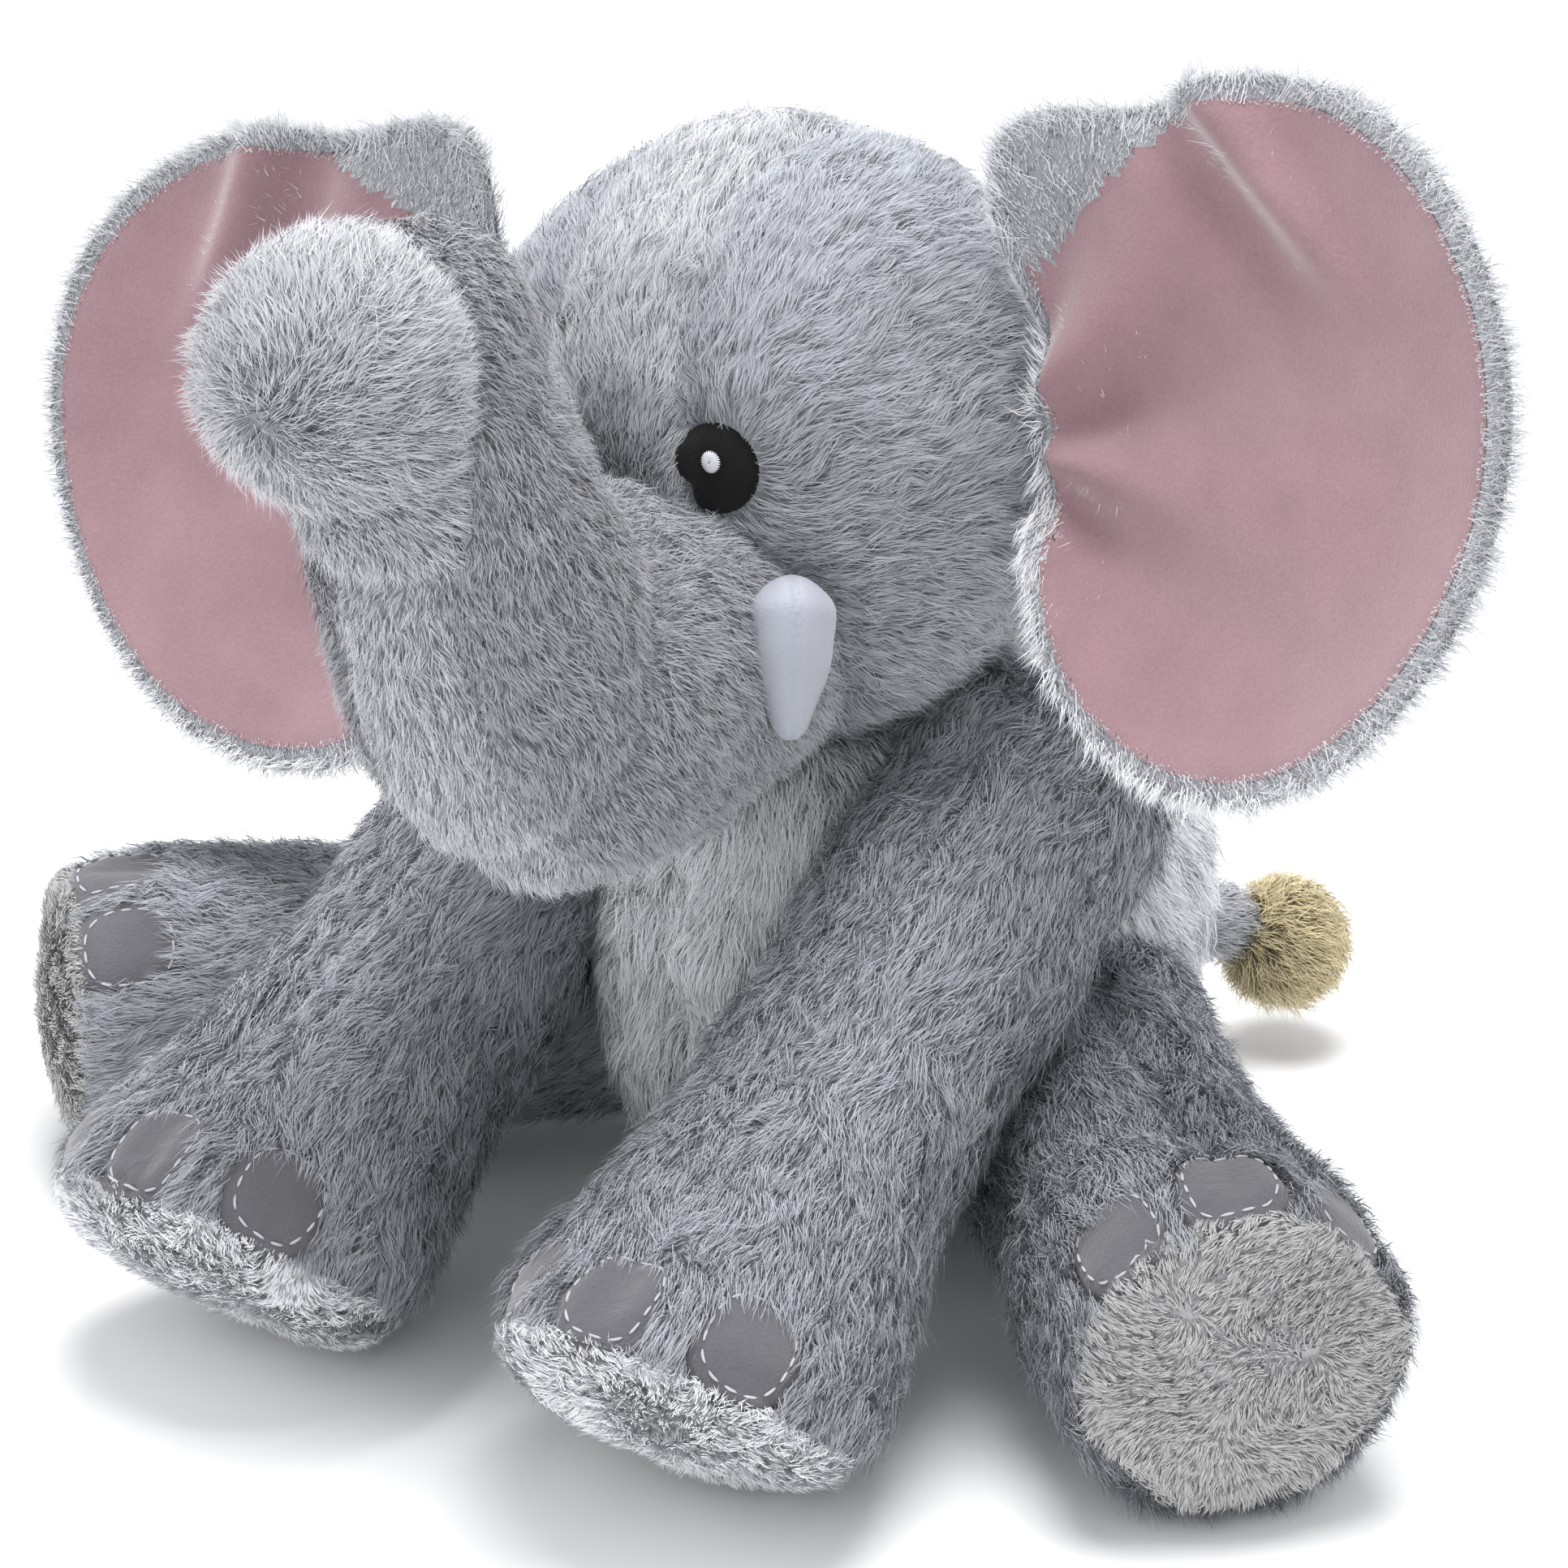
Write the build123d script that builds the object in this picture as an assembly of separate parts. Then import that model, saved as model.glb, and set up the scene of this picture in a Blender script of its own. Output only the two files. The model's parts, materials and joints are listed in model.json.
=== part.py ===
from build123d import *
import math
import os

# Seated plush elephant, in millimetres.  +Z is up, the elephant faces -Y and
# its left side is +X.  The origin is on the ground under the middle of the seat.

# cloth and clearances
SKIN = 2.2            # thickness of the pile cloth with its roots pressed down
LINE = 0.15           # gap between a skin and the filling inside it
RUN = 1.0             # clearance between two parts that move
FELT = 1.4            # thickness of the felt nails and eyes
SOLE = 3.0            # thickness of a sole pad

# torso
BELLY = (0, 0, 62)
BELLY_R = 64
CHEST = (0, -34, 116)
CHEST_R = 37

# head, in its own tilted frame
HEAD = (0, -54, 190)
HEAD_ROLL = -11       # tilted about Y, so that the left ear is the higher one
HEAD_R = 63
GUSSET_HALF = 17      # half width of the forehead gusset
GUSSET_LOW = -22      # height at which the gusset ends above the muzzle
MUZZLE_ROOT = (0, -45, -30)
MUZZLE_ROOT_R = 35
MUZZLE_END = (0, -92, -35)
MUZZLE_END_R = 33
EYE_AIM = (28, -57, 5.5)
EYE_R = 9.5
GLINT_AIM = (30, -56, 8)
GLINT_R = 2.4
TUSK_TOP = (43.4, -60, -27)
TUSK_TOP_R = 7
TUSK_TIP = (40, -67, -43)
TUSK_TIP_R = 4.5

# upper trunk, in the head's frame
ELBOW = (0, -104, -28)
ELBOW_R = 30
SNOUT = (0, -120, 46)
SNOUT_R = 22
TIP = (0, -136, 48)
TIP_R = 25
UNDER_HALF = 13       # half width of the light panel under the trunk
TRUNK_BEND = [-15, 0, 20, 40]

# neck
NECK = (0, -44, 148)
NECK_R = 31
NOD_SWEEP = 7.5       # how far the back of the head moves when it nods

# ears, in the head's frame
EAR = (127, -6, -4)
EAR_HALF_W = 62
EAR_HALF_H = 72
EAR_DISH = 230        # radius of the hollow of the ear
EAR_BACK = 3.0
EAR_LINING = 2.5
EAR_TILT = (-16, 10, -8)

# limbs: hinge ball, sole centre, sole normal, and radii along the limb
ARM_BALL = (53, -40, 110)
ARM_SOLE = (58, -178, 27.6)
ARM_NORMAL = (0, -0.64, -0.77)
ARM_RADII = [(0.0, 28), (0.25, 27.5), (0.6, 28), (0.84, 34.5), (1.0, 39.5), (1.4, 40)]
ARM_SWING = [0, 15, 30]
LEG_BALL = (45, -14, 40)
LEG_SOLE = (154, -117, 36.5)
LEG_NORMAL = (0.72, -0.694, 0)
LEG_RADII = [(0.0, 32), (0.3, 30), (0.6, 30.5), (0.85, 34), (1.0, 34.5), (1.2, 34)]
LEG_SWING = [-3, 8, 18]

# toenails
NAIL_HALF_W = 9.5
NAIL_HALF_L = 11
NAIL_BACK = 15        # centre of a nail, behind the edge of the sole
NAIL_TURN = 42        # turn between two nails around the foot

# tail
TAIL_BALL = (17, 57, 44)
TAIL_R = 8
TAIL_END = (40, 85, 32)
TAIL_END_R = 6.5
TUFT = (46, 93, 27)
TUFT_R = 12

BIG = 600


def pod(c1, r1, c2, r2, grow=0.0):
    """A smooth pod around two balls, turned about the line between them."""
    a, b = r1 + grow, r2 + grow
    start, end = Vector(*c1), Vector(*c2)
    length = (end - start).length
    lean = math.asin((a - b) / length)
    low = [-math.pi / 2 + (lean + math.pi / 2) * k / 4 for k in range(5)]
    high = [lean + (math.pi / 2 - lean) * k / 4 for k in range(5)]
    rim = [Vector(a * math.cos(t), 0, a * math.sin(t)) for t in low]
    rim += [Vector(b * math.cos(t), 0, length + b * math.sin(t)) for t in high]
    rim[0] = Vector(0, 0, -a)
    rim[-1] = Vector(0, 0, length + b)
    flank = Spline(*rim, tangents=[(1, 0, 0), (-1, 0, 0)])
    body = revolve(make_face([flank, Line(rim[-1], rim[0])]), Axis.Z, 360)
    return Plane(origin=start, z_dir=end - start) * body


def ball(centre, radius):
    return Pos(*centre) * Sphere(radius)


def block(x0, x1, y0, y1, z0, z1):
    """A box between two corners, used to part the panels from each other."""
    middle = Pos((x0 + x1) / 2, (y0 + y1) / 2, (z0 + z1) / 2)
    return middle * Box(x1 - x0, y1 - y0, z1 - z0)


def mirrored(centre, side):
    return (side * centre[0], centre[1], centre[2])


def in_head(shape):
    return Pos(*HEAD) * Rotation(0, HEAD_ROLL, 0) * shape


def less(shape, rooms):
    for room in rooms:
        shape = shape - room
    return shape


def save(shape, node):
    solids = shape.solids()
    if len(solids) != 1:
        print(node, "has", len(solids), "solids", [round(s.volume, 1) for s in solids])
    whole = max(solids, key=lambda s: s.volume)
    whole.label = node
    export_step(whole, f"parts/{node}.step")


# ---------------------------------------------------------------- limbs
def limb_plane(start, sole):
    """Z runs down the limb, X points sideways and level, Y is across both."""
    along = Vector(*sole) - Vector(*start)
    level = Vector(0, 0, 1).cross(along)
    return Plane(origin=start, x_dir=level, z_dir=along)


def limb_body(start, sole, radii, grow=0.0):
    """A turned limb: a ball at the hinge that runs into a flared foot."""
    length = (Vector(*sole) - Vector(*start)).length
    r0 = radii[0][1] + grow
    rim = [Vector(r + grow, 0, t * length) for t, r in radii]
    half = r0 * math.sqrt(0.5)
    cap = ThreePointArc(Vector(0, 0, -r0), Vector(half, 0, -half), rim[0])
    flank = Spline(*rim, tangents=[(0, 0, 1), (0, 0, 1)])
    top = Vector(0, 0, rim[-1].Z)
    outline = [cap, flank, Line(rim[-1], top), Line(top, Vector(0, 0, -r0))]
    return revolve(make_face(outline), Axis.Z, 360)


def beyond(centre, normal, depth=0.0):
    """Everything past the plane of the sole, less a depth inside it."""
    return Plane(origin=centre, z_dir=normal) * Pos(0, 0, 150 - depth) * Box(BIG, BIG, 300)


def swung(shape, centre, axis, angle):
    return shape.rotate(Axis(centre, axis), angle)


def make_limb(name, side, start, sole, normal, radii):
    start, sole, normal = (mirrored(v, side) for v in (start, sole, normal))
    plane = limb_plane(start, sole)
    length = (Vector(*sole) - Vector(*start)).length
    outer = plane * limb_body(start, sole, radii)
    inner = plane * limb_body(start, sole, radii, -SKIN)
    skin = outer - inner - beyond(sole, normal, SOLE + LINE)
    outside = plane * block(0, BIG, -BIG, BIG, -BIG, BIG)
    inside = plane * block(-BIG, 0, -BIG, BIG, -BIG, BIG)
    halves = (outside, inside) if side > 0 else (inside, outside)
    save(skin & halves[0], f"{name}_outer")
    save(skin & halves[1], f"{name}_inner")
    pad = (outer & beyond(sole, normal, SOLE)) - beyond(sole, normal)
    save(pad, f"{name}_sole")
    filling = plane * limb_body(start, sole, radii, -SKIN - LINE)
    save(filling - beyond(sole, normal, SOLE + LINE), f"{name}_stuffing")
    make_nails(name, side, plane, length, start, sole, normal, radii)


def make_nails(name, side, plane, length, start, sole, normal, radii):
    """Three felt nails over the top of the foot, behind the sole's edge."""
    over = plane * limb_body(start, sole, radii, FELT)
    under = plane * limb_body(start, sole, radii)
    layer = over - under
    down = (Vector(*sole) - Vector(*start)).normalized()
    lean = Vector(*normal)
    rise = Vector(0, 0, 1) - down * down.Z
    rise = rise.normalized()
    sideways = down.cross(rise)
    foot_r = radii[-2][1]
    for index, turn in enumerate((-NAIL_TURN, 0, NAIL_TURN)):
        a = math.radians(turn)
        out = rise * math.cos(a) + sideways * math.sin(a)
        edge = -foot_r * out.dot(lean) / down.dot(lean)
        spot = Vector(*sole) + down * (edge - NAIL_BACK)
        stamp = extrude(Ellipse(NAIL_HALF_L, NAIL_HALF_W), 60)
        aim = Plane(origin=spot, x_dir=down, z_dir=out)
        save(layer & (aim * stamp), f"{name}_nail_{index + 1}")


def limb_hollow(side, start, sole, radii, axis, angles):
    """The room a limb needs in the torso over its whole swing."""
    start, sole = mirrored(start, side), mirrored(sole, side)
    shape = limb_plane(start, sole) * limb_body(start, sole, radii, RUN)
    return [swung(shape, start, axis, angle) for angle in angles]


# ---------------------------------------------------------------- torso
def torso_body(grow=0.0):
    trunk = pod(BELLY, BELLY_R, CHEST, CHEST_R, grow)
    return trunk - block(-BIG, BIG, -BIG, BIG, -BIG, -grow)


def torso_hollows():
    rooms = [ball(HEAD, HEAD_R + NOD_SWEEP), ball(NECK, NECK_R + RUN)]
    rooms.append(ball(TAIL_BALL, TAIL_R + RUN))
    rooms.append(pod(TAIL_BALL, TAIL_R, TAIL_END, TAIL_END_R, 3 * RUN))
    for side in (1, -1):
        arm_angles = [-a for a in ARM_SWING]
        rooms += limb_hollow(side, ARM_BALL, ARM_SOLE, ARM_RADII, (1, 0, 0), arm_angles)
        leg_angles = [side * a for a in LEG_SWING]
        rooms += limb_hollow(side, LEG_BALL, LEG_SOLE, LEG_RADII, (0, 0, 1), leg_angles)
    return rooms


def make_torso():
    rooms = torso_hollows()
    skin = torso_body() - torso_body(-SKIN)
    filling = torso_body(-SKIN - LINE)
    skin = less(skin, rooms)
    filling = less(filling, rooms)
    save(skin & block(0, BIG, -BIG, BIG, -BIG, BIG), "torso_left")
    save(skin & block(-BIG, 0, -BIG, BIG, -BIG, BIG), "torso_right")
    save(filling, "torso_stuffing")
    plug = ball(NECK, NECK_R)
    save(plug, "neck_stuffing")


# ---------------------------------------------------------------- head
def muzzle(grow=0.0):
    return pod(MUZZLE_ROOT, MUZZLE_ROOT_R, MUZZLE_END, MUZZLE_END_R, grow)


def to_head(point):
    """A point of the world, in the head's tilted frame."""
    a = math.radians(-HEAD_ROLL)
    x, y, z = (point[i] - HEAD[i] for i in range(3))
    return (x * math.cos(a) + z * math.sin(a), y, -x * math.sin(a) + z * math.cos(a))


def patch(grow_in, grow_out, aim, radius):
    """A round scrap of felt laid on the ball of the head."""
    layer = Sphere(HEAD_R + grow_out) - Sphere(HEAD_R + grow_in)
    stamp = Plane(origin=(0, 0, 0), z_dir=aim) * Pos(0, 0, 50) * Cylinder(radius, 100)
    return layer & stamp


def make_head():
    collar = ball(to_head(NECK), NECK_R + RUN)
    room = trunk_body(RUN)
    sockets = [swung(room, ELBOW, (1, 0, 0), angle) for angle in TRUNK_BEND]
    ball_skin = Sphere(HEAD_R) - Sphere(HEAD_R - SKIN) - muzzle() - collar
    band = block(-GUSSET_HALF, GUSSET_HALF, -BIG, BIG, GUSSET_LOW, BIG)
    save(in_head(ball_skin & band), "head_gusset")
    sides = ball_skin - band
    left = sides & block(0, BIG, -BIG, BIG, -BIG, BIG)
    right = sides & block(-BIG, 0, -BIG, BIG, -BIG, BIG)
    save(in_head(left), "head_left")
    save(in_head(right), "head_right")

    snout = less(muzzle() - muzzle(-SKIN) - Sphere(HEAD_R), sockets)
    floor = block(-UNDER_HALF, UNDER_HALF, -BIG, BIG, -BIG, MUZZLE_END[2])
    save(in_head(snout & floor), "muzzle_underside")
    snout = snout - floor
    save(in_head(snout & block(0, BIG, -BIG, BIG, -BIG, BIG)), "muzzle_left")
    save(in_head(snout & block(-BIG, 0, -BIG, BIG, -BIG, BIG)), "muzzle_right")

    filling = Sphere(HEAD_R - SKIN - LINE) + muzzle(-SKIN - LINE)
    save(in_head(less(filling - collar, sockets)), "head_stuffing")

    for side, name in ((1, "left"), (-1, "right")):
        eye = patch(0, FELT, mirrored(EYE_AIM, side), EYE_R)
        save(in_head(eye), f"eye_{name}")
        glint = patch(FELT, FELT + 0.6, mirrored(GLINT_AIM, side), GLINT_R)
        save(in_head(glint), f"eye_glint_{name}")
        top, tip = mirrored(TUSK_TOP, side), mirrored(TUSK_TIP, side)
        core = pod(top, TUSK_TOP_R, tip, TUSK_TIP_R, -0.9)
        save(in_head(pod(top, TUSK_TOP_R, tip, TUSK_TIP_R) - core), f"tusk_{name}")
        save(in_head(core), f"tusk_filling_{name}")


def trunk_body(grow=0.0):
    tube = pod(ELBOW, ELBOW_R, SNOUT, SNOUT_R, grow)
    return tube + pod(SNOUT, TIP_R, TIP, TIP_R, grow)


def make_trunk():
    skin = trunk_body() - trunk_body(-SKIN)
    mouth = Plane(origin=SNOUT, z_dir=Vector(*TIP) - Vector(*SNOUT))
    cap = mouth * Pos(0, 0, 60) * Box(80, 80, 100)
    save(in_head(skin & cap), "trunk_tip")
    skin = skin - cap
    front = block(-UNDER_HALF, UNDER_HALF, -BIG, ELBOW[1] - 8, -BIG, SNOUT[2])
    save(in_head(skin & front), "trunk_underside")
    skin = skin - front
    save(in_head(skin & block(0, BIG, -BIG, BIG, -BIG, BIG)), "trunk_left")
    save(in_head(skin & block(-BIG, 0, -BIG, BIG, -BIG, BIG)), "trunk_right")
    save(in_head(trunk_body(-SKIN - LINE)), "trunk_stuffing")


# ---------------------------------------------------------------- ears
def make_ear(side, name):
    """A shallow dish cut to an oval: pile cloth behind, smooth lining in front."""
    centre = Pos(0, -EAR_DISH, 0)
    oval = Rotation(90, 0, 0) * extrude(Ellipse(EAR_HALF_W, EAR_HALF_H), 120, both=True)
    back = (centre * Sphere(EAR_DISH + EAR_BACK)) - (centre * Sphere(EAR_DISH))
    lining = (centre * Sphere(EAR_DISH)) - (centre * Sphere(EAR_DISH - EAR_LINING))
    far_side = block(-BIG, BIG, -60, 60, -BIG, BIG)
    tilt, spread, turn = EAR_TILT
    spot = Pos(*mirrored(EAR, side)) * Rotation(tilt, 0, 0)
    spot = spot * Rotation(0, side * spread, 0) * Rotation(0, 0, side * turn)
    save(in_head(spot * (back & oval & far_side)), f"ear_back_{name}")
    save(in_head(spot * (lining & oval & far_side)), f"ear_lining_{name}")


# ---------------------------------------------------------------- tail
def make_tail():
    tuft = ball(TUFT, TUFT_R)
    stem = pod(TAIL_BALL, TAIL_R, TAIL_END, TAIL_END_R)
    save(stem - tuft, "tail_stem")
    save(tuft, "tail_tuft")


os.makedirs("parts", exist_ok=True)
make_torso()
make_head()
make_trunk()
make_ear(1, "left")
make_ear(-1, "right")
for side, name in ((1, "left"), (-1, "right")):
    make_limb(f"arm_{name}", side, ARM_BALL, ARM_SOLE, ARM_NORMAL, ARM_RADII)
    make_limb(f"leg_{name}", side, LEG_BALL, LEG_SOLE, LEG_NORMAL, LEG_RADII)
make_tail()
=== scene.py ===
import json
import math

import bpy
import numpy as np
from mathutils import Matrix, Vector
from mathutils.bvhtree import BVHTree
from mathutils.kdtree import KDTree


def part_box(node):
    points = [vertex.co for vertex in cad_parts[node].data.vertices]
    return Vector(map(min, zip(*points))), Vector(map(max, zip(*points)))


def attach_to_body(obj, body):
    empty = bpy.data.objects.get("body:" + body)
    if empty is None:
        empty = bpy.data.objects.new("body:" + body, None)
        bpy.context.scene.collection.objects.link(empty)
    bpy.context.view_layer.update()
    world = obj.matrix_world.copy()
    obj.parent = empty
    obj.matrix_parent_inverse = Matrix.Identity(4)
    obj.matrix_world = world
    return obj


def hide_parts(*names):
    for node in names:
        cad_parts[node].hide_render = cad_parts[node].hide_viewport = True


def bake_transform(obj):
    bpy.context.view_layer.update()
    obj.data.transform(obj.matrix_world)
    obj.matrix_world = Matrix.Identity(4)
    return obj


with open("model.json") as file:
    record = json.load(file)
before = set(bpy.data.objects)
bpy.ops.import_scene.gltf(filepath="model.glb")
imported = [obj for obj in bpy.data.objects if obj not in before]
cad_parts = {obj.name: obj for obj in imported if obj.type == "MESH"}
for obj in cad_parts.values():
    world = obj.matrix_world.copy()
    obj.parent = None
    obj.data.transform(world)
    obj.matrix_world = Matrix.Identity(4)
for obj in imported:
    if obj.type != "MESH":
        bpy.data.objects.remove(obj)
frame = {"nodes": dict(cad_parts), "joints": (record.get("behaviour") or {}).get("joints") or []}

# Seated plush elephant.  Metres, +Z up, it faces -Y and its left side is +X.
NODES = frame["nodes"]
JOINT = {j["name"]: j for j in frame["joints"]}
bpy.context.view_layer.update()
FINE = 1.0      # share of the pile that is grown
MM = 0.001
SIDES = ((1, "left"), (-1, "right"))
BACKWARD = np.array([0, 1.0, 0])
TURN = 2 * math.pi                      # once round
FAR = 1.0                               # a distance that no seam is within


# ------------------------------------------------------------ small helpers
def unit(v):
    return v / np.maximum(np.linalg.norm(v, axis=-1, keepdims=True), 1e-9)


def ramp(x, lo, hi):
    """0 below lo, 1 above hi, and a smooth step between."""
    t = np.clip((x - lo) / (hi - lo), 0, 1)
    return t * t * (3 - 2 * t)


def waves(p, size, seed, count=9):
    """Smooth noise, about -1 to 1, with features of one size in metres."""
    r = np.random.default_rng(seed)
    k = unit(r.normal(size=(count, 3))) * (TURN / size) * r.uniform(0.6, 1.5, (count, 1))
    return np.sin(p @ k.T + r.uniform(0, 6.28, count)).sum(1) / math.sqrt(count / 2) * 0.6


def middle(node):
    lo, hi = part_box(node)
    return (np.array(lo) + np.array(hi)) / 2


def joint_at(name):
    return np.array(JOINT[name]["pos_m"], float)


def arrays(me):
    """A mesh's points and triangles."""
    co = np.empty(len(me.vertices) * 3)
    me.vertices.foreach_get("co", co)
    me.calc_loop_triangles()
    tri = np.empty(len(me.loop_triangles) * 3, np.int32)
    me.loop_triangles.foreach_get("vertices", tri)
    return co.reshape(-1, 3), tri.reshape(-1, 3)


def make_object(name, co, faces, material=None):
    me = bpy.data.meshes.new(name)
    sides = faces.shape[1]
    me.vertices.add(len(co))
    me.vertices.foreach_set("co", np.asarray(co, np.float32).ravel())
    me.loops.add(faces.size)
    me.loops.foreach_set("vertex_index", faces.astype(np.int32).ravel())
    me.polygons.add(len(faces))
    me.polygons.foreach_set("loop_start", np.arange(0, faces.size, sides, dtype=np.int32))
    me.update(calc_edges=True)
    me.shade_smooth()
    if material:
        me.materials.append(material)
    obj = bpy.data.objects.new(name, me)
    bpy.context.scene.collection.objects.link(obj)
    return obj


def vertex_normals(co, tri):
    fn = np.cross(co[tri[:, 1]] - co[tri[:, 0]], co[tri[:, 2]] - co[tri[:, 0]])
    out = np.zeros_like(co)
    for k in range(3):
        np.add.at(out, tri[:, k], fn)
    return unit(out)


def store(me, name, values):
    a = me.attributes.new(name, "FLOAT", "POINT")
    a.data.foreach_set("value", np.asarray(values, np.float32))


def bands(count, steps):
    """Quads between count + 1 closed rings that have this many points each."""
    k = np.arange(steps)
    j = (k + 1) % steps
    return np.vstack([np.stack([i * steps + k, i * steps + j, (i + 1) * steps + j,
                                (i + 1) * steps + k], 1) for i in range(count)])


def round_ball(at, radius):
    """A closed ball of triangles."""
    rows, steps = 14, 28
    lat = np.linspace(-math.pi / 2, math.pi / 2, rows + 1)[1:-1]
    lon = np.arange(steps) * 2 * math.pi / steps
    ring = np.stack([np.outer(np.cos(lat), np.cos(lon)),
                     np.outer(np.cos(lat), np.sin(lon)),
                     np.outer(np.sin(lat), np.ones(steps))], 2).reshape(-1, 3)
    co = np.vstack([ring, [[0, 0, -1], [0, 0, 1]]]) * radius + np.array(at)
    k = np.arange(steps)
    j = (k + 1) % steps
    tri, low, high = [], len(ring), len(ring) + 1
    for i in range(rows - 2):
        a, b = i * steps, (i + 1) * steps
        tri += [np.stack([a + k, a + j, b + j], 1), np.stack([a + k, b + j, b + k], 1)]
    last = (rows - 2) * steps
    tri += [np.stack([j, k, np.full(steps, low)], 1),
            np.stack([last + k, last + j, np.full(steps, high)], 1)]
    return co, np.vstack(tri)


def grown(nodes, voxel, passes, balls=()):
    """One smooth form around the CAD solids of these nodes, and around any balls."""
    cos, tris, count = [], [], 0
    solids = [round_ball(at, radius) for at, radius in balls]
    solids += [arrays(NODES[n].data) for n in nodes]
    for c, t in solids:
        cos.append(c)
        tris.append(t + count)
        count += len(c)
    obj = make_object("tmp", np.vstack(cos), np.vstack(tris))
    m = obj.modifiers.new("remesh", "REMESH")
    m.mode, m.voxel_size = "VOXEL", voxel
    s = obj.modifiers.new("smooth", "SMOOTH")
    s.factor, s.iterations = 0.5, passes
    dg = bpy.context.evaluated_depsgraph_get()
    me = bpy.data.meshes.new_from_object(obj.evaluated_get(dg))
    co, tri = arrays(me)
    bpy.data.objects.remove(obj)
    return co, tri


def nearest(tree, points):
    """Distance to a form, its nearest point, and the normal there."""
    d, q, nn = [], [], []
    for p in points:
        loc, nor, _, dist = tree.find_nearest(Vector(p))
        d.append(dist)
        q.append(loc)
        nn.append(nor)
    return np.array(d), np.array(q), np.array(nn)


def tree_of(co, tri):
    """A search tree over triangles, for the nearest point or a ray's hit."""
    return BVHTree.FromPolygons([tuple(v) for v in co.tolist()], tri.tolist())


# ------------------------------------------------------------ materials
def shader(name, rough=0.8, sheen=0.0):
    """A new material with its node tree and its main shader."""
    m = bpy.data.materials.new(name)
    m.use_nodes = True
    nt = m.node_tree
    b = nt.nodes["Principled BSDF"]
    b.inputs["Roughness"].default_value = rough
    b.inputs["Specular IOR Level"].default_value = 0.25
    b.inputs["Sheen Weight"].default_value = sheen
    b.inputs["Sheen Roughness"].default_value = 0.5
    return m, nt, b


def node(nt, kind, **values):
    """A new node; each value goes to the socket or the setting of that name."""
    n = nt.nodes.new(kind)
    for key, value in values.items():
        if key in n.inputs:
            n.inputs[key].default_value = value
        else:
            setattr(n, key, value)
    return n


def mix(nt, factor, a, b):
    """A colour mix; factor, a and b are sockets or plain values."""
    n = nt.nodes.new("ShaderNodeMix")
    n.data_type = "RGBA"
    for key, value in ((0, factor), (6, a), (7, b)):
        if isinstance(value, bpy.types.NodeSocket):
            nt.links.new(value, n.inputs[key])
        else:
            n.inputs[key].default_value = value if key == 0 else (*value, 1)
    return n.outputs[2]


def pile_shader(name, root, tip):
    """Colour of a strand: dark at the root, as painted shade deep in the pile, pale at the tip,
    uneven from tuft to tuft.
    """
    m, nt, b = shader(name, 0.75, 0.15)
    along = node(nt, "ShaderNodeAttribute", attribute_name="along")
    tone = node(nt, "ShaderNodeAttribute", attribute_name="tone")
    curve = nt.nodes.new("ShaderNodeMapRange")
    curve.interpolation_type = "SMOOTHSTEP"
    curve.inputs["From Min"].default_value = 0.0
    curve.inputs["From Max"].default_value = 0.85
    nt.links.new(along.outputs["Fac"], curve.inputs["Value"])
    strand = mix(nt, curve.outputs["Result"], root, tip)
    dark = tuple(0.80 * a for a in root)
    shade = mix(nt, tone.outputs["Fac"], dark, tip)
    nt.links.new(mix(nt, 0.30, strand, shade), b.inputs["Base Color"])
    return m


def cloth_shader(name, low, high, size=900, bump=0.5, rough=0.85, sheen=0.3):
    """Short nap or knitted backing: fine mottled colour with a fine bump."""
    m, nt, b = shader(name, rough, sheen)
    where = node(nt, "ShaderNodeTexCoord")
    fine = node(nt, "ShaderNodeTexNoise", Scale=size, Detail=4.0)
    broad = node(nt, "ShaderNodeTexNoise", Scale=size / 22, Detail=3.0)
    for t in (fine, broad):
        nt.links.new(where.outputs["Object"], t.inputs["Vector"])
    base = mix(nt, fine.outputs["Fac"], low, high)
    soft = mix(nt, broad.outputs["Fac"], tuple(0.8 * a for a in low), high)
    nt.links.new(mix(nt, 0.45, base, soft), b.inputs["Base Color"])
    bm = node(nt, "ShaderNodeBump", Strength=bump, Distance=0.0006)
    nt.links.new(fine.outputs["Fac"], bm.inputs["Height"])
    nt.links.new(bm.outputs["Normal"], b.inputs["Normal"])
    return m


# Pile takes a root colour, darker as painted shade deep in the pile, and a tip colour; cloth the
# two ends of its mottling.
PILE = pile_shader("grey_pile", (0.21, 0.218, 0.24), (0.52, 0.537, 0.585))
# A darker copy of the grey pile for the muzzle and trunk sides: painted shade.
PILE_PAINTED_SHADE = pile_shader("grey_pile_painted_shade", (0.165, 0.167, 0.182), (0.47, 0.478, 0.508))
PILE_LIGHT = pile_shader("pale_pile", (0.29, 0.295, 0.315), (0.64, 0.65, 0.685))
# A paler copy of the grey pile for the torso, the front soles and the ear backs: painted light on
# parts that sit in shade.
PILE_PAINTED_LIGHT = pile_shader("grey_pile_painted_light", (0.50, 0.51, 0.53), (0.90, 0.91, 0.94))
PILE_SOLE = pile_shader("sole_pile", (0.40, 0.40, 0.40), (0.56, 0.555, 0.555))
PILE_TAN = pile_shader("tan_pile", (0.38, 0.30, 0.16), (0.92, 0.80, 0.50))
BACKING = cloth_shader("pile_backing", (0.22, 0.225, 0.245), (0.38, 0.39, 0.42), 700)
BACKING_SOLE = cloth_shader("sole_backing", (0.42, 0.42, 0.43), (0.58, 0.58, 0.60), 700)
BACKING_TAN = cloth_shader("tuft_backing", (0.16, 0.13, 0.08), (0.3, 0.26, 0.18), 700)
PINK = cloth_shader("pink_velvet", (0.20, 0.112, 0.127), (0.38, 0.240, 0.266),
                    1300, 0.35, 0.9, 0.6)
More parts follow.
